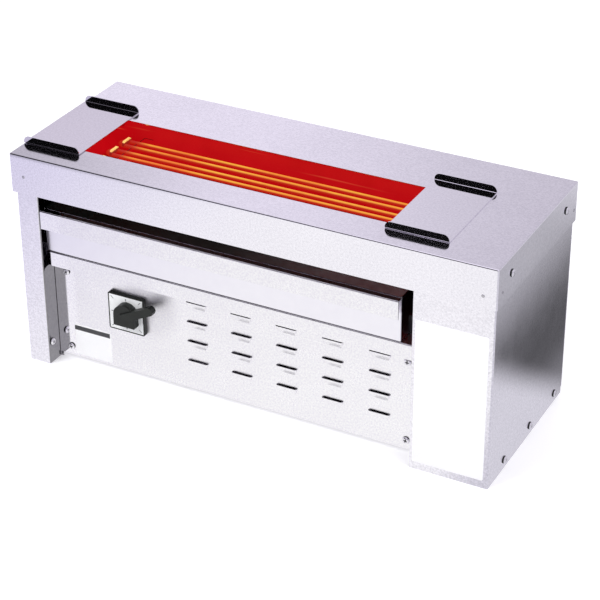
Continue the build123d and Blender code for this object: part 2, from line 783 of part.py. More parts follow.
def lead(points):
    """One insulated lead, bent sharply at its points."""
    start = Vector(*points[0])
    ahead = Vector(*points[1]) - start
    section = Plane(origin=start, z_dir=ahead) * Circle(lead_dia / 2)
    return sweep(section, path=Polyline(*points), transition=Transition.RIGHT)


def internal_leads():
    """Leads from the switch to the heaters and the terminal block."""
    y_rear = y_lap + body_deep
    lanes = lead_lanes()
    side = [-terminal_in, terminal_in, -terminal_in, terminal_in]
    rise = [-terminal_in, -terminal_in, terminal_in, terminal_in]
    x_stud = heater_end + stud_len
    x_in = x_part + sheet
    pieces = []
    for i in range(3):
        ly, lz = lanes[i]
        hy = heater_y[2 * i]
        x_up = x_stud + lead_rise - lane_step * i
        points = [
            (sx + side[i], y_rear, sz + rise[i]),
            (sx + side[i], ly, sz + rise[i]),
            (x_part - lane_ahead, ly, lz),
            (x_up, ly, lz),
            (x_up, hy, z_heat),
            (x_stud, hy, z_heat),
        ]
        pieces.append(lead(points))
    ly, lz = lanes[3]
    x_block = x_in + block_x + block_len / 6
    z_block = z_floor + block_high / 2
    points = [
        (sx + side[3], y_rear, sz + rise[3]),
        (sx + side[3], ly, sz + rise[3]),
        (x_part - lane_ahead, ly, lz),
        (x_block, ly, lz),
        (x_block, ly, z_block),
        (x_block, block_y, z_block),
    ]
    pieces.append(lead(points))
    x_common = x_block + block_len / 3
    points = [
        (x_common, block_y, z_block),
        (x_common, block_y - lead_drop, z_block),
        (x_common, heater_y[5], z_heat),
        (x_stud, heater_y[5], z_heat),
    ]
    pieces.append(lead(points))
    return pieces


def cover_spacers():
    """Sleeves in the gap between the cover's left flange and the side panel."""
    pieces = []
    for y, z in cover_screws:
        sleeve = rod(sheet, y, z, (1, 0, 0), screw_head, left_gap)
        pieces.append(sleeve - rod(sheet, y, z, (1, 0, 0), hole_dia, left_gap + 1, 1))
    return pieces


def build():
    """Every node and its solids, in the layout frame."""
    nodes = {
        "top_cover": top_cover(),
        "left_side_panel": left_side_panel(),
        "right_side_cover": right_side_cover(),
        "partition": partition(),
        "base_plate": base_plate(),
        "front_panel": front_panel(),
        "tray_shelf": tray_shelf(),
        "rear_panel": rear_panel(),
        "chamber_front_wall": chamber_front_wall(),
        "chamber_rear_wall": chamber_rear_wall(),
        "chamber_left_wall": chamber_left_wall(),
        "heater_tube_1": heater_tube(0),
        "heater_tube_2": heater_tube(1),
        "heater_tube_3": heater_tube(2),
        "heater_support": heater_support(),
        "heater_bushings": heater_bushings(),
        "heater_saddles": heater_saddles(),
        "heater_insulators": heater_insulators(),
        "heater_studs": heater_studs(),
        "heater_link": heater_link(),
        "tray_guide_left": tray_guide(tray_x0 - guide_gap, -1),
        "tray_guide_right": tray_guide(tray_x1 + guide_gap, 1),
        "drip_tray_pan": drip_tray_pan(),
        "tray_pull": tray_pull(),
        "left_end_plate": end_plate(0.0, left_tab_x),
        "right_end_plate": end_plate(open_x1 + right_plate_over - plate_width, right_tab_x),
        "switch_bezel": switch_bezel(),
        "switch_dial": switch_dial(),
        "switch_body": switch_body(),
        "switch_shaft": switch_shaft(),
        "switch_knob": switch_knob(),
        "leg_bracket": leg_bracket(),
        "terminal_block": terminal_block(),
        "cable_gland": cable_gland(),
        "gland_nut": gland_nut(),
        "grommet": grommet(),
        "internal_leads": internal_leads(),
        "cover_spacers": cover_spacers(),
        "panel_screws": [pan_screw(x, y_panel, z, (0, -1, 0)) for x, z in panel_screws],
        "cover_screws_right": [pan_screw(width, y, z, (1, 0, 0)) for y, z in cover_screws],
        "cover_screws_left": [pan_screw(0, y, z, (-1, 0, 0)) for y, z in cover_screws],
        "side_screws_right": [pan_screw(x_right, y, z, (1, 0, 0)) for y, z in side_screws],
        "side_screws_left": [pan_screw(x_left, y, z, (-1, 0, 0)) for y, z in side_screws],
        "rear_screws": [pan_screw(x, y_back, z, (0, 1, 0)) for x, z in rear_screws],
        "leg_screw": pan_screw(x_leg, *leg_screw_at, (1, 0, 0)),
        "front_rivets": [rivet(x, 0, z, (0, -1, 0)) for x, z in front_rivets],
        "side_rivets": [rivet(width, y, z, (1, 0, 0)) for y, z in side_rivets],
    }
    return nodes


y_mid = (y_back + gland_collar + gland_cap - rivet_high) / 2
to_origin = Pos(-width / 2, -y_mid, 0)

os.makedirs("parts", exist_ok=True)
for name, shape in build().items():
    solids = []
    for piece in shape if isinstance(shape, list) else [shape]:
        solids += (to_origin * piece).solids()
    whole = solids[0] if len(solids) == 1 else Compound(children=solids)
    export_step(whole, f"parts/{name}.step")
    box = whole.bounding_box()
    print(name, len(solids), f"{box.min.X:.2f}..{box.max.X:.2f} {box.min.Y:.2f}..{box.max.Y:.2f}", end=" ")
    print(f"{box.min.Z:.2f}..{box.max.Z:.2f}")
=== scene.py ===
import bpy
import math
import numpy as np
from mathutils import Matrix


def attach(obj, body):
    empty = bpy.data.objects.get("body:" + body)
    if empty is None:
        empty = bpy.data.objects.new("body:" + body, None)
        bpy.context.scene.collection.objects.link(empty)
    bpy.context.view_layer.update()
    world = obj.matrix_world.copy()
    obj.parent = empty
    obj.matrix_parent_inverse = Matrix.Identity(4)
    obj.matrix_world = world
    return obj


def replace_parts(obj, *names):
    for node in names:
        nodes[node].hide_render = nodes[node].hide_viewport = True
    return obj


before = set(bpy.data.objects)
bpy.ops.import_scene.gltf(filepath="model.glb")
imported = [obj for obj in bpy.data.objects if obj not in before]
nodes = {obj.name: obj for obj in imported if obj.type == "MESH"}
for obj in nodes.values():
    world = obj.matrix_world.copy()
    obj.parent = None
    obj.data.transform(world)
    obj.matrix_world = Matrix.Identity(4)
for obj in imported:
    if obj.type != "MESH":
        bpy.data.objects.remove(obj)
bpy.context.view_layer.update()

# The camera: a short telephoto, held above the front right corner and turned down a little under thirty
# degrees, so that the top, the front and the right side all show.
camera_place = (0.83399, -1.563, 1.11385)
camera_turn = (60.811, -0.1267, 26.8899)
camera_data = bpy.data.cameras.new("photo_camera")
camera_data.sensor_width = 36.0
camera_data.lens = 117.305
camera_data.shift_x = -0.05
camera_data.shift_y = -0.05
camera = bpy.data.objects.new("photo_camera", camera_data)
camera.location = camera_place
camera.rotation_euler = tuple(math.radians(angle) for angle in camera_turn)
bpy.context.scene.collection.objects.link(camera)
bpy.context.scene.camera = camera
bpy.context.scene.view_settings.view_transform = "Standard"


# The studio: a pale floor that runs on to a white background, with a dimmer patch at the right that the
# polished side mirrors, a bright room with one dark doorway at the front left, and soft lamps above.
class Link:
    """A socket of a node, so that shader maths reads as a Python expression."""

    def __init__(self, tree, socket):
        self.tree = tree
        self.socket = socket

    def maths(self, kind, *values, clamp=False):
        node = self.tree.nodes.new("ShaderNodeMath")
        node.operation = kind
        node.use_clamp = clamp
        for place, value in enumerate(values):
            if isinstance(value, Link):
                self.tree.links.new(value.socket, node.inputs[place])
            else:
                node.inputs[place].default_value = value
        return Link(self.tree, node.outputs[0])

    def __add__(self, other):
        return self.maths("ADD", self, other)

    __radd__ = __add__

    def __mul__(self, other):
        return self.maths("MULTIPLY", self, other)

    __rmul__ = __mul__

    def __sub__(self, other):
        return self.maths("SUBTRACT", self, other)

    def __rsub__(self, other):
        return self.maths("SUBTRACT", other, self)

    def __truediv__(self, other):
        return self.maths("DIVIDE", self, other)

    def __rtruediv__(self, other):
        return self.maths("DIVIDE", other, self)

    def sine(self):
        return self.maths("SINE", self)

    def size(self):
        return self.maths("ABSOLUTE", self)

    def clamped(self):
        return self.maths("ADD", self, 0.0, clamp=True)

    def ramp(self, start, end):
        """0 before start and 1 after end, with a smooth rise between."""
        t = ((self - start) / (end - start)).clamped()
        return t * t * (3.0 - 2.0 * t)


class Finish:
    """A material or world tree, with one method that adds any node."""

    def __init__(self, tree):
        self.tree = tree
        tree.nodes.clear()

    def node(self, kind, settings=None, out=0, **values):
        """Values are named for their sockets, or i0, i1 and so on for a socket's number."""
        made = self.tree.nodes.new(kind)
        for name, value in (settings or {}).items():
            setattr(made, name, value)
        for name, value in values.items():
            numbered = name[0] == "i" and name[1:].isdigit()
            socket = made.inputs[int(name[1:]) if numbered else name.replace("_", " ")]
            if isinstance(value, Link):
                self.tree.links.new(value.socket, socket)
            else:
                socket.default_value = value
        return Link(self.tree, made.outputs[out]) if len(made.outputs) else None

    def split(self, vector):
        """The x, y and z of a vector."""
        parts = self.tree.nodes.new("ShaderNodeSeparateXYZ")
        self.tree.links.new(vector.socket, parts.inputs[0])
        return [Link(self.tree, parts.outputs[k]) for k in range(3)]

    def place(self):
        """Object coordinates, whole and as x, y and z."""
        whole = self.node("ShaderNodeTexCoord", out=3)
        return whole, *self.split(whole)

    def outward(self):
        """The x, y and z of the direction that the surface faces."""
        return self.split(self.node("ShaderNodeTexCoord", out=1))

    def rays(self):
        """1 for rays from the camera or through glass, and 1 for rays off a mirror."""
        path = self.tree.nodes.new("ShaderNodeLightPath")
        kinds = ("Is Camera Ray", "Is Transmission Ray", "Is Glossy Ray")
        straight, through, mirrored = (Link(self.tree, path.outputs[kind]) for kind in kinds)
        return (straight + through).clamped(), mirrored

    def blend(self, mask, first, second):
        """A colour between two, by a mask."""
        ends = [c if isinstance(c, Link) else (*c, 1.0) for c in (first, second)]
        return self.node("ShaderNodeMix", {"data_type": "RGBA"}, out=2, i0=mask, i6=ends[0], i7=ends[1])

    def surface(self, **values):
        """The surface shader with these values, joined to the output."""
        self.node("ShaderNodeOutputMaterial", Surface=self.node("ShaderNodeBsdfPrincipled", **values))


def new_finish(name):
    """An empty material and its tree."""
    material = bpy.data.materials.new(name)
    material.use_nodes = True
    return material, Finish(material.node_tree)


floor_reach = 4.0
floor_colour = (0.86, 0.86, 0.88)
floor_lift = 0.28
mirror_share = 0.96
beside_x, near_x, far_x = (0.20, 0.262), (0.275, 0.315), (0.344, 0.408)
patch_front_y, patch_rear_y, patch_right_x = (0.062, 0.138), (0.42, 0.62), (0.45, 0.65)
beside_dim, patch_dim, near_dim, far_lit = 0.22, 0.545, 0.165, 0.46
bluer_x, beside_blue = (-0.62, -0.12), 0.4
floor_mesh = bpy.data.meshes.new("floor")
edge = np.array([-1.0, 1.0]) * floor_reach
corner_x, corner_y = np.meshgrid(edge, edge)
floor_points = np.stack([corner_x.ravel(), corner_y.ravel(), np.zeros(4)], axis=1)
floor_mesh.from_pydata(floor_points.tolist(), [], [(0, 1, 3, 2)])
floor = bpy.data.objects.new("floor", floor_mesh)
bpy.context.scene.collection.objects.link(floor)

floor_material, paint = new_finish("pale_floor")
x, y = paint.place()[1:3]
seen, mirrored = paint.rays()
beside = x.ramp(*beside_x)
patch = y.ramp(*patch_front_y) * (1.0 - y.ramp(*patch_rear_y)) * (1.0 - x.ramp(*patch_right_x))
patch_depth = patch_dim + near_dim * x.ramp(*near_x) - far_lit * x.ramp(*far_x)
dim = beside * (beside_dim + patch * patch_depth)
whiter = x.ramp(*bluer_x) * (1.0 - beside * beside_blue)
mirrored_floor = paint.blend(whiter, (0.74, 0.71, 0.88), (1.0, 1.0, 1.0))
matte = paint.node("ShaderNodeBsdfDiffuse", Color=(*floor_colour, 1.0))
mirror_light = paint.node("ShaderNodeEmission", Color=mirrored_floor, Strength=1.0 - dim)
lift = paint.node("ShaderNodeEmission", Color=(1.0, 1.0, 1.0, 1.0), Strength=floor_lift)
lifted = paint.node("ShaderNodeAddShader", i0=matte, i1=lift)
direct = paint.node("ShaderNodeMixShader", i0=seen, i1=matte, i2=lifted)
mixed = paint.node("ShaderNodeMixShader", i0=mirrored * mirror_share, i1=direct, i2=mirror_light)
paint.node("ShaderNodeOutputMaterial", Surface=mixed)
floor_mesh.materials.append(floor_material)

doorway_front, doorway_left, doorway_right = (-0.25, 0.30), (-0.80, -0.65), (-0.18, -0.04)
doorway_slant, doorway_dark = 0.15, 0.995
ceiling_up, ceiling_right, ceiling_left_share = (0.62, 0.80), (-0.50, -0.34), 0.25
room_level, room_dim, dimmer_right = 0.93, 0.27, (-0.46, -0.28)
matte_level = 0.55
world = bpy.data.worlds.new("studio")
bpy.context.scene.world = world
world.use_nodes = True
sky = Finish(world.node_tree)
east, north, up = sky.split(sky.node("ShaderNodeTexCoord", out=0))
seen, mirrored = sky.rays()
doorway = (1.0 - (north + doorway_slant * east).ramp(*doorway_front)) * east.ramp(*doorway_left)
doorway = doorway * (1.0 - east.ramp(*doorway_right))
overhead = ceiling_left_share + (1.0 - ceiling_left_share) * east.ramp(*ceiling_right)
overhead = up.ramp(*ceiling_up) * overhead
room = room_level - room_dim * east.ramp(*dimmer_right)
metal_sky = ((1.0 - doorway * doorway_dark) * room * (1.0 - overhead) + overhead).clamped()
level = seen + (1.0 - seen) * (mirrored * metal_sky + (1.0 - mirrored) * matte_level)
hue = sky.blend(mirrored, (0.98, 0.97, 1.0), (0.93, 0.885, 1.0))
backdrop = sky.node("ShaderNodeBackground", Color=hue, Strength=level)
sky.node("ShaderNodeOutputWorld", Surface=backdrop)


def soft_lamp(name, place, power, aim=(0.0, 0.0, 0.1), size=1.2):
    """A square soft box at place, turned to aim."""
    lamp_data = bpy.data.lights.new(name, "AREA")
    lamp_data.size = size
    lamp_data.energy = power
    lamp = bpy.data.objects.new(name, lamp_data)
    back = np.array(place) - np.array(aim)
    back /= np.linalg.norm(back)
    right = np.cross((0.0, 0.0, 1.0), back)
    right /= np.linalg.norm(right)
    turned = np.eye(4)
    turned[:3, :3] = np.stack([right, np.cross(back, right), back], axis=1)
    turned[:3, 3] = place
    lamp.matrix_world = Matrix(turned.tolist())
    lamp.visible_glossy = False
    bpy.context.scene.collection.objects.link(lamp)


soft_lamp("key_lamp", (-0.9, -1.3, 1.7), 26.0)
soft_lamp("fill_lamp", (1.5, -0.6, 1.2), 12.0)
soft_lamp("rear_lamp", (0.2, 1.5, 1.6), 12.0)


# The top cover: one stainless sheet, cut out for the grill opening and folded down on all four sides. The
# rolling leaves faint streaks along it, and the bright finish shows a fine mottle.
sheet_tint = (0.90, 0.88, 0.945)
across_grain, along_grain = 900.0, 14.0
fleck_weight, cloud_weight = 2.2, 0.6
darker_front_x, darker_front_y, darker_front_z = (-0.30, 0.04), (-0.085, -0.02), (0.240, 0.2445)
darker_front_share = 0.42


def steel_sheet(name, grain, rough=0.20, tint=sheet_tint, painted_darker=None, polished=None):
    """Steel whose streaks run along the axis that grain names, 0 for x, 1 for y and 2 for z. The last two
    arguments give from x, y and z the share by which the colour is painted darker there, and the share of the
    roughness that is lost there."""
    material, paint = new_finish(name)
    whole, x, y, z = paint.place()
    scale = [across_grain] * 3
    scale[grain] = along_grain
    stretched = paint.node("ShaderNodeMapping", Vector=whole, Scale=tuple(scale))
    streak = paint.node("ShaderNodeTexNoise", Vector=stretched, Scale=1.0, Detail=2.0, Roughness=0.6)
    fleck = paint.node("ShaderNodeTexNoise", Vector=whole, Scale=520.0, Detail=1.0)
    cloud = paint.node("ShaderNodeTexNoise", Vector=whole, Scale=9.0, Detail=2.0)
    smear = paint.node("ShaderNodeTexNoise", Vector=whole, Scale=38.0, Detail=3.0)
    shade = (fleck - 0.5) * fleck_weight + (cloud - 0.5) * cloud_weight + 0.5
    darkest, brightest = [c * 0.90 for c in tint], [min(1.0, c * 1.07) for c in tint]
    colour = paint.blend(shade.clamped(), darkest, brightest)
    if painted_darker:
        colour = paint.blend(painted_darker(x, y, z), colour, (0.0, 0.0, 0.0))
    roughness = rough + (streak - 0.5) * (rough * 0.5) + (smear - 0.5) * (rough * 0.6)
    if polished:
        roughness = roughness * (1.0 - polished(x, y, z))
    relief = streak * 0.5 + smear * 0.5
    bump = paint.node("ShaderNodeBump", Strength=rough * 0.25, Distance=0.0004, Height=relief)
    paint.surface(Base_Color=colour, Metallic=1.0, Roughness=roughness, Normal=bump)
    return material


def dress(material, *names):
    """Gives the named CAD nodes their material."""
    for name in names:
        worn = nodes[name].data.materials
        if worn:
            for place in range(len(worn)):
                worn[place] = material
        else:
            worn.append(material)


def cover_darker_front(x, y, z):
    """The top is painted darker along its front, most towards the left corner."""
    return (1.0 - x.ramp(*darker_front_x)) * (1.0 - y.ramp(*darker_front_y)) * z.ramp(*darker_front_z) * darker_front_share


dress(steel_sheet("cover_steel", 0, rough=0.12, painted_darker=cover_darker_front), "top_cover")


# The body: two side sheets that are the legs, an inner partition, a floor sheet and a back sheet, all of the
# same steel, with the grain upright on the sides. Screws and rivets hold them through turned edges.
partition_shade_z, partition_shade_share = (0.186, 0.205), 0.88
return_x, return_y, return_share = (-0.2407, -0.2399), (-0.080, -0.078), 0.70


def partition_painted_shade(x, y, z):
    """Below the chamber the partition is painted darker, a painted shade for the dark inside of the body."""
    return (1.0 - z.ramp(*partition_shade_z)) * partition_shade_share


def return_shade(x, y, z):
    """The strip that turns in behind the left leg is painted darker, a painted shade."""
    return x.ramp(*return_x) * (1.0 - y.ramp(*return_y)) * return_share


dress(steel_sheet("steel_upright", 2, rough=0.17), "right_side_cover", "cover_spacers")
dress(steel_sheet("partition_steel", 2, rough=0.24, painted_darker=partition_painted_shade), "partition")
dress(steel_sheet("leg_steel", 2, rough=0.17, painted_darker=return_shade), "left_side_panel")
# The leg bracket is the same steel with a darker tint, a painted shade.
dress(steel_sheet("bracket_steel_painted_shade", 2, rough=0.34, tint=(0.62, 0.59, 0.60)), "leg_bracket")
dress(steel_sheet("steel_lengthwise", 0), "base_plate", "rear_panel")


# The front panel with its pressed louvres, and the shelf that the drip tray slides over: thin bright sheet
# that mirrors the white table in front of it.
margin_x, margin_share = (-0.222, -0.210), 0.72
handled_x, handled_z = -0.125, 0.088
handled_squared, handled_share = (0.0004, 0.0020), 0.60


def panel_wear(x, y, z):
    """The panel stays brightest beside the left leg, where no cloth reaches, and hands haze it by the switch.

    The haze fades with the square of the distance from the middle of the handled place.
    """
    untouched = (1.0 - x.ramp(*margin_x)) * margin_share
    squared = (x - handled_x) * (x - handled_x) + (z - handled_z) * (z - handled_z)
    return untouched - (1.0 - squared.ramp(*handled_squared)) * handled_share


panel_steel = steel_sheet("panel_steel", 0, rough=0.30, tint=(0.95, 0.925, 1.0), polished=panel_wear)
dress(panel_steel, "front_panel", "tray_shelf")


# The chamber: folded walls round the heaters, heat-tinted on the side that faces the rods. There they carry a
# painted deep red glow down to below the rods, and a pale streak that is a painted reflection of the rods under
# the cover.
chamber_middle = (-0.03, -0.025)
inward_way = (0.004, 0.02)
glow_z, mirrored_z = (0.184, 0.204), (0.226, 0.234)


def inner_face(outward, x, y, middle):
    """1 on the sides of walls that face the middle, and 0 on their outer sides, by the product of the
    outward direction and the way to the middle."""
    return (outward[0] * (middle[0] - x) + outward[1] * (middle[1] - y)).ramp(*inward_way)


wall_material, paint = new_finish("heat_tinted_wall_painted_glow")
whole, x, y, z = paint.place()
mottle = paint.node("ShaderNodeTexNoise", Vector=whole, Scale=30.0, Detail=3.0)
lengthened = paint.node("ShaderNodeMapping", Vector=whole, Scale=(6.0, 1.0, 260.0))
streak = paint.node("ShaderNodeTexNoise", Vector=lengthened, Scale=1.0, Detail=2.0)
# The emission is painted light: a red painted glow on the inner faces and a pale painted reflection near the
# top. The base colour is the walls' own heat tint.
glow_red = paint.blend(mottle, (0.40, 0.001, 0.003), (0.52, 0.002, 0.006))
glow_with_painted_streak = paint.blend(streak.ramp(0.60, 0.78) * z.ramp(*mirrored_z), glow_red, (0.85, 0.16, 0.06))
painted_glow_mask = z.ramp(*glow_z) * inner_face(paint.outward(), x, y, chamber_middle)
paint.surface(
    Base_Color=paint.blend(mottle, (0.06, 0.008, 0.006), (0.11, 0.014, 0.010)),
    Metallic=0.7,
    Roughness=0.42 + mottle * 0.15,
    Emission_Color=paint.blend(painted_glow_mask, (0.0, 0.0, 0.0), glow_with_painted_streak),
    Emission_Strength=1.0,
)
dress(wall_material, "chamber_front_wall", "chamber_rear_wall", "chamber_left_wall", "heater_support")


# The heater bank: hairpins of sheathed rod that glow a duller red, cooler towards the bend at the left, with a
# painted orange highlight along the top, held by saddles there and by collars in the partition. Ceramic beads
# stand off their ends in the wiring box.
hot_x, highlight_z = (-0.188, -0.168), (0.2274, 0.229)
tube_red = (0.46, 0.010, 0.002)
tube_orange = (0.84, 0.20, 0.012)
tube_amber = (0.90, 0.42, 0.03)
tube_material, paint = new_finish("glowing_sheath")
whole, x, y, z = paint.place()
# The rise along x is the rods' cooler bends. The rise with z paints the orange along their tops as a painted
# highlight.
heat_and_highlight = x.ramp(*hot_x) * z.ramp(*highlight_z)
mottle = paint.node("ShaderNodeTexNoise", Vector=whole, Scale=160.0, Detail=2.0)
patches = paint.node("ShaderNodeTexNoise", Vector=whole, Scale=9.0, Detail=1.0)
highlight_colour = paint.blend(patches.ramp(0.35, 0.65), tube_orange, tube_amber)
glow_colour = paint.blend((heat_and_highlight * (0.80 + mottle * 0.4)).clamped(), tube_red, highlight_colour)
paint.surface(
    Base_Color=paint.blend(mottle, (0.05, 0.02, 0.015), (0.10, 0.04, 0.03)),
    Metallic=0.6,
    Roughness=0.5 + mottle * 0.2,
    Emission_Color=glow_colour,
    Emission_Strength=1.0,
)
dress(tube_material, "heater_tube_1", "heater_tube_2", "heater_tube_3")

# The saddles carry painted light: a red painted glow, and along their tops a yellow painted glint of the rods,
# in both the colour and the glow.
glint_z = (0.2302, 0.2312)
saddle_glint_material, paint = new_finish("saddle_painted_glint")
whole, x, y, z = paint.place()
speck = paint.node("ShaderNodeTexNoise", Vector=whole, Scale=500.0, Detail=2.0)
painted_glint = (z + (speck - 0.5) * 0.0012).ramp(*glint_z)
paint.surface(
    Base_Color=paint.blend(painted_glint, (0.10, 0.02, 0.01), (0.62, 0.46, 0.18)),
    Roughness=0.6 + speck * 0.1,
    Emission_Color=paint.blend(painted_glint, (0.30, 0.004, 0.003), (0.66, 0.36, 0.07)),
    Emission_Strength=0.8,
)
dress(saddle_glint_material, "heater_saddles")

bead, paint = new_finish("ceramic_bead")
whole = paint.place()[0]
speck = paint.node("ShaderNodeTexNoise", Vector=whole, Scale=900.0, Detail=2.0)
paint.surface(
    Base_Color=paint.blend(speck, (0.78, 0.75, 0.68), (0.90, 0.88, 0.82)),
    Roughness=0.6 + speck * 0.1,
)
dress(bead, "heater_insulators")

plated, paint = new_finish("bright_plating")
whole = paint.place()[0]
wear = paint.node("ShaderNodeTexNoise", Vector=whole, Scale=600.0, Detail=2.0)
paint.surface(
    Base_Color=paint.blend(wear, (0.42, 0.41, 0.44), (0.60, 0.59, 0.62)),
    Metallic=1.0,
    Roughness=0.16 + wear * 0.12,
)
dress(plated, "heater_bushings", "heater_studs", "heater_link", "switch_shaft")


# The drip tray: a folded pan between two guides, behind a bright front with a turned lip that fingers pull.
# Inside it is painted near black as painted shade, with a soot stain pattern and painted light that greys it to
# the right.
pan_middle = (-0.0346, -0.026)
pan_face_y = (-0.0957, -0.0953)
pan_floor_z = (0.165, 0.180)
lighter_right_x = (-0.10, 0.14)
frontward, skyward = (0.5, 0.9), (0.3, 0.8)
pan_steel, paint = new_finish("pan_steel_soot_and_painted_shade")
whole, x, y, z = paint.place()
outward = paint.outward()
stain = paint.node("ShaderNodeTexNoise", Vector=whole, Scale=14.0, Detail=4.0)
spatter = paint.node("ShaderNodeTexNoise", Vector=whole, Scale=90.0, Detail=3.0)
upward = outward[2].ramp(*skyward) * (1.0 - z.ramp(*pan_floor_z))
inside = (inner_face(outward, x, y, pan_middle) + upward).clamped()
sooty = (stain * 0.7 + spatter * 0.3).ramp(0.38, 0.62)
# The dark inside colours are painted shade, a little cyan against the chamber's red light, and painted light
# greys them towards the right. The blotches between them are a soot stain pattern.
painted_light_right = x.ramp(*lighter_right_x)
dark = paint.blend(painted_light_right, (0.017, 0.032, 0.030), (0.21, 0.25, 0.26))
bare = paint.blend(painted_light_right, (0.042, 0.070, 0.066), (0.38, 0.45, 0.47))
front_face = (0.0 - outward[1]).ramp(*frontward) * (1.0 - y.ramp(*pan_face_y))
bright = paint.blend(spatter, (0.90, 0.88, 0.95), (0.96, 0.94, 1.0))
clean = paint.blend(front_face, (0.20, 0.20, 0.21), bright)
paint.surface(
    Base_Color=paint.blend(inside, clean, paint.blend(sooty, dark, bare)),
    Metallic=1.0 - inside * 0.5,
    Roughness=0.28 + inside * (0.34 - sooty * 0.2),
)
dress(pan_steel, "drip_tray_pan")
dress(panel_steel, "tray_pull")
# The guides are the sheet steel with a near black tint, a painted shade.
guide_steel_painted_shade = steel_sheet("guide_steel_painted_shade", 1, rough=0.42, tint=(0.16, 0.155, 0.16))
dress(guide_steel_painted_shade, "tray_guide_left", "tray_guide_right")


# The end plates: loose folded sheets that lie over the ends of the opening, with their front and rear edges
# turned up into round-ended lips. They slide along to set the length of the fire.
# The left plate is the same steel as the right one with a darker tint, a painted shade.
dress(steel_sheet("left_plate_steel_painted_shade", 1, rough=0.05, tint=(0.69, 0.66, 0.72)), "left_end_plate")
dress(steel_sheet("right_plate_steel", 1, rough=0.05), "right_end_plate")


# The switch: a black moulded body and lever over a white dial plate, with a plain tick printed at each
# eighth of a turn.
moulded, paint = new_finish("black_moulding")
whole = paint.place()[0]
grain = paint.node("ShaderNodeTexNoise", Vector=whole, Scale=1800.0, Detail=2.0)
cloud = paint.node("ShaderNodeTexNoise", Vector=whole, Scale=60.0, Detail=2.0)
bump = paint.node("ShaderNodeBump", Strength=0.15, Distance=0.0002, Height=grain)
paint.surface(
    Base_Color=paint.blend(cloud, (0.004, 0.005, 0.004), (0.016, 0.019, 0.016)),
    Roughness=0.36 + grain * 0.12,
    Specular_IOR_Level=0.35,
    Normal=bump,
)
dress(moulded, "switch_bezel", "switch_body", "switch_knob")

dial_x, dial_z = -0.1491, 0.0781
tick_in, tick_out = (0.0150, 0.0154), (0.0180, 0.0184)
tick_side = (0.00045, 0.00090)
dial_white, paint = new_finish("dial_white")
whole, x, y, z = paint.place()
speck = paint.node("ShaderNodeTexNoise", Vector=whole, Scale=400.0, Detail=2.0)
across = (x - dial_x).size()
along = (z - dial_z).size()
reach = across.maths("MAXIMUM", across, along)
ring = reach.ramp(*tick_in) * (1.0 - reach.ramp(*tick_out))
ticks = 3.0 - across.ramp(*tick_side) - along.ramp(*tick_side) - (across - along).size().ramp(*tick_side)
printed = (ring * ticks).clamped()
plastic = paint.blend(speck, (0.86, 0.875, 0.88), (0.94, 0.955, 0.96))
paint.surface(
    Base_Color=paint.blend(printed * 0.75, plastic, (0.10, 0.11, 0.12)),
    Roughness=0.32 + speck * 0.1,
)
dress(dial_white, "switch_dial")


# The wiring: braided high-temperature leads from the heater ends to the terminal block and the switch, and
# the gland at the rear. The block, gland and grommet are moulded like the switch.
braid_wave = 2600.0
lead_cover, paint = new_finish("lead_sleeve")
x, y, z = paint.place()[1:]
braid = (x * braid_wave).sine() * ((y + z) * braid_wave).sine()
paint.surface(
    Base_Color=paint.blend(braid * 0.5 + 0.5, (0.42, 0.40, 0.36), (0.62, 0.60, 0.55)),
    Roughness=0.75,
)
dress(lead_cover, "internal_leads")
dress(moulded, "cable_gland", "gland_nut", "terminal_block", "grommet")


# The screws and rivets: pan-head M4 screws of plated steel with a cross recess hold the panel, the covers
# and the back, and small domed rivets join the cover's corners. The recess and the foot of each head are
# painted dark as painted shade.
head_radius, head_height = 0.004, 0.0026
shank_radius, shank_length, shank_bevel = 0.0019, 0.0010, 0.0002
recess_arm, recess_reach, recess_depth = 0.00055, 0.0023, 0.0013
arm_edge, reach_edge = 0.0003, 0.0008
rim_height, rim_edge = 0.0012, 0.0003
first_turn, turn_step = 0.5, 1.3
screw_steel, paint = new_finish("screw_plating")
whole = paint.place()[0]
wear = paint.node("ShaderNodeTexNoise", Vector=whole, Scale=600.0, Detail=2.0)
recess_shade = paint.node("ShaderNodeAttribute", {"attribute_name": "recess_shade"}, out=2)
bright = paint.blend(wear, (0.80, 0.79, 0.83), (0.94, 0.93, 0.97))
paint.surface(
    # The attribute darkens the recess and the foot of the rim as painted shade.
    Base_Color=paint.blend(recess_shade, bright, (0.022, 0.024, 0.022)),
    Metallic=1.0 - recess_shade * 0.6,
    Roughness=0.16 + wear * 0.10 + recess_shade * 0.3,
)


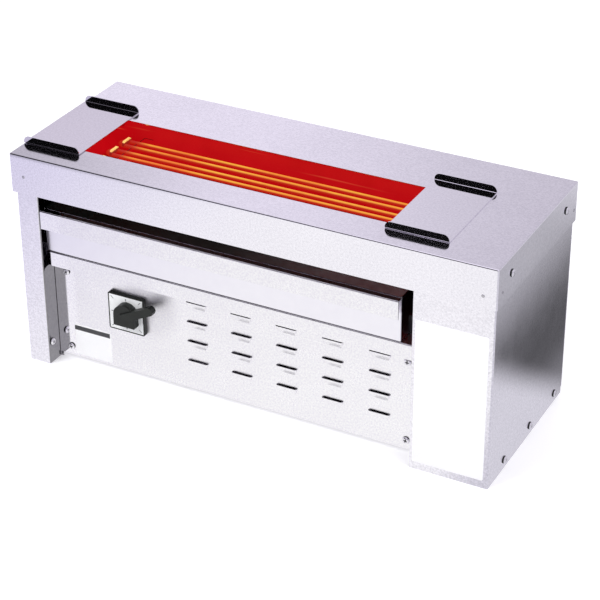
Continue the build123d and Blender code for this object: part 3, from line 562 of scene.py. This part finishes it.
def pan_head_screws(name, facing, feet, rows=26, columns=56):
    """Screws in one mesh, each a grid of rows that follow its profile and columns that go round its axis.

    The head's height over its radius r is H * sqrt(1 - (r / R) ** 4), less a cross-shaped recess: its depth
    fades where the nearer arm axis is over half an arm's width away or the farther one is past the reach.
    The rows go on under the head, down the shank and to its middle. facing is the axis the head looks along.
    An attribute on the points paints shade: it is 1 in the recess and round the foot of the rim, where shade
    falls, and 0 on the dome.
    """
    r = head_radius * np.sin(np.linspace(0.0, np.pi / 2, rows))
    radius = np.concatenate([r, [shank_radius, shank_radius, shank_radius * 0.6, 0.0]])
    dome = head_height * np.sqrt(np.clip(1.0 - (r / head_radius) ** 4, 0.0, 1.0))
    tail = [0.0, -shank_length, -shank_length - shank_bevel, -shank_length - shank_bevel]
    rise = np.repeat(np.concatenate([dome, tail])[:, None], columns, axis=1)
    around = np.linspace(0.0, 2 * np.pi, columns, endpoint=False)
    ring_r, ring_a = np.meshgrid(radius, around, indexing="ij")
    facing = np.array(facing, dtype=float)
    first = np.array([0.0, 0.0, 1.0])
    second = np.cross(facing, first)
    last = len(radius) - 3
    row, column = np.meshgrid(np.arange(last), np.arange(columns), indexing="ij")
    here, beyond = row * columns + column, row * columns + (column + 1) % columns
    quads = np.stack([here, here + columns, beyond + columns, beyond], axis=-1).reshape(-1, 4)
    go, then = np.arange(columns), (np.arange(columns) + 1) % columns
    middle, tip = (last + 1) * columns, (last + 1) * columns + 1
    dome_fan = np.stack([np.full(columns, middle), go, then], axis=1)
    tip_fan = np.stack([last * columns + then, last * columns + go, np.full(columns, tip)], axis=1)

    def with_poles(grid):
        """The grid as a list in which the first row and the last are one point each, put at the end."""
        flat = grid.reshape(len(radius) * columns, -1)
        return np.concatenate([flat[columns:-columns], flat[:1], flat[-1:]])

    points, faces, shade_marks = [], [], []
    for place, foot in enumerate(feet):
        turned = ring_a - (first_turn + turn_step * place)
        arms = np.abs(ring_r * np.cos(turned)), np.abs(ring_r * np.sin(turned))
        cut = np.clip((recess_arm - np.minimum(*arms)) / arm_edge + 0.5, 0.0, 1.0)
        cut *= np.clip((recess_reach - np.maximum(*arms)) / reach_edge, 0.0, 1.0)
        cut[rows:] = 0.0
        rim = np.clip((rim_height - rise) / rim_edge, 0.0, 1.0)
        shape = (
            np.array(foot)
            + (rise - recess_depth * cut)[..., None] * facing
            + (ring_r * np.cos(ring_a))[..., None] * first
            + (ring_r * np.sin(ring_a))[..., None] * second
        )
        points.append(with_poles(shape))
        shade_marks.append(with_poles(np.maximum(rim, cut)))
        for part in (quads, dome_fan, tip_fan):
            faces.extend((part + place * (tip + 1)).tolist())
    mesh = bpy.data.meshes.new(name)
    mesh.from_pydata(np.concatenate(points).tolist(), [], faces)
    mesh.polygons.foreach_set("use_smooth", np.ones(len(mesh.polygons), dtype=bool))
    shade_layer = mesh.attributes.new("recess_shade", "FLOAT", "POINT").data
    shade_layer.foreach_set("value", np.concatenate(shade_marks).ravel().astype(np.float32))
    mesh.materials.append(screw_steel)
    made = bpy.data.objects.new(name, mesh)
    bpy.context.scene.collection.objects.link(made)
    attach(made, "frame")
    return made


side_feet_y = (-0.06315, 0.00455, 0.07225)
cover_feet_y = (-0.07205, 0.06845)
screw_rows = {
    "panel_screws": ((0, -1, 0), [(x, -0.08475, z) for x in (-0.224, 0.172) for z in (0.108, 0.0164)]),
    "cover_screws_right": ((1, 0, 0), [(0.270, y, 0.226) for y in cover_feet_y]),
    "cover_screws_left": ((-1, 0, 0), [(-0.270, y, 0.226) for y in cover_feet_y]),
    "side_screws_right": ((1, 0, 0), [(0.2688, y, 0.010) for y in side_feet_y]),
    "side_screws_left": ((-1, 0, 0), [(-0.265, y, 0.010) for y in side_feet_y]),
    "rear_screws": ((0, 1, 0), [(x, 0.09425, z) for x in (-0.258, 0.2618) for z in (0.024, 0.185)]),
    "leg_screw": ((1, 0, 0), [(-0.2395, -0.09855, 0.025)]),
}
for node, (facing, feet) in screw_rows.items():
    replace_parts(pan_head_screws(node + "_heads", facing, feet), node)
dress(plated, "front_rivets", "side_rivets")


# The plates: a small rating plate on the panel and a tall label on the right leg. Both are thin white film
# stuck on, with rounded corners and a faintly lifted edge. The small one has a plain dark band along its
# top, and the tall one is blank.
film_thick = 0.00025
film_corner = 0.002
film_sides = 96
band_low_z, band_high_z = (0.0385, 0.0389), (0.0440, 0.0444)
band_right_x = (-0.1745, -0.1741)
film, paint = new_finish("white_film")
whole, x, y, z = paint.place()
speck = paint.node("ShaderNodeTexNoise", Vector=whole, Scale=300.0, Detail=2.0)
bubble = paint.node("ShaderNodeTexNoise", Vector=whole, Scale=45.0, Detail=2.0)
ripple = paint.node("ShaderNodeBump", Strength=0.08, Distance=0.0003, Height=bubble)
band = z.ramp(*band_low_z) * (1.0 - z.ramp(*band_high_z)) * (1.0 - x.ramp(*band_right_x))
white = paint.blend(speck, (0.93, 0.93, 0.945), (0.98, 0.98, 0.99))
paint.surface(
    Base_Color=paint.blend(band, white, (0.045, 0.045, 0.05)),
    Roughness=0.36 + bubble * 0.12,
    Normal=ripple,
)


def stuck_film(name, centre_x, centre_z, half_wide, half_high, face_y):
    """A rounded rectangle facing the front, as rings from its middle to its edge and back to the sheet.

    The outline at angle a is the rectangle less its corner radius, pushed out by the corner along a.
    """
    a = (np.arange(film_sides) + 0.5) * 2 * np.pi / film_sides
    edge_x = np.sign(np.cos(a)) * (half_wide - film_corner) + film_corner * np.cos(a)
    edge_z = np.sign(np.sin(a)) * (half_high - film_corner) + film_corner * np.sin(a)
    share = np.array([0.001, 0.5, 0.985, 1.0, 1.0])[:, None]
    proud = film_thick * np.array([1.0, 1.0, 1.0, 0.6, 0.0])[:, None]
    px = centre_x + edge_x * share
    pz = centre_z + edge_z * share
    py = face_y - proud + 0.0 * px
    points = np.stack([px, py, pz], axis=-1).reshape(-1, 3)
    row, column = np.meshgrid(np.arange(len(share) - 1), np.arange(film_sides), indexing="ij")
    here, beyond = row * film_sides + column, row * film_sides + (column + 1) % film_sides
    quads = np.stack([here, here + film_sides, beyond + film_sides, beyond], axis=-1).reshape(-1, 4)
    order = list(range(len(points)))
    middle, back = order[:film_sides], order[:-film_sides - 1:-1]
    mesh = bpy.data.meshes.new(name)
    mesh.from_pydata(points.tolist(), [], quads.tolist() + [middle, back])
    mesh.materials.append(film)
    made = bpy.data.objects.new(name, mesh)
    bpy.context.scene.collection.objects.link(made)
    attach(made, "frame")
    return made


stuck_film("rating_plate", -0.1955, 0.0272, 0.0230, 0.0185, -0.08475)
stuck_film("leg_label", 0.2255, 0.0895, 0.0380, 0.0810, -0.10455)
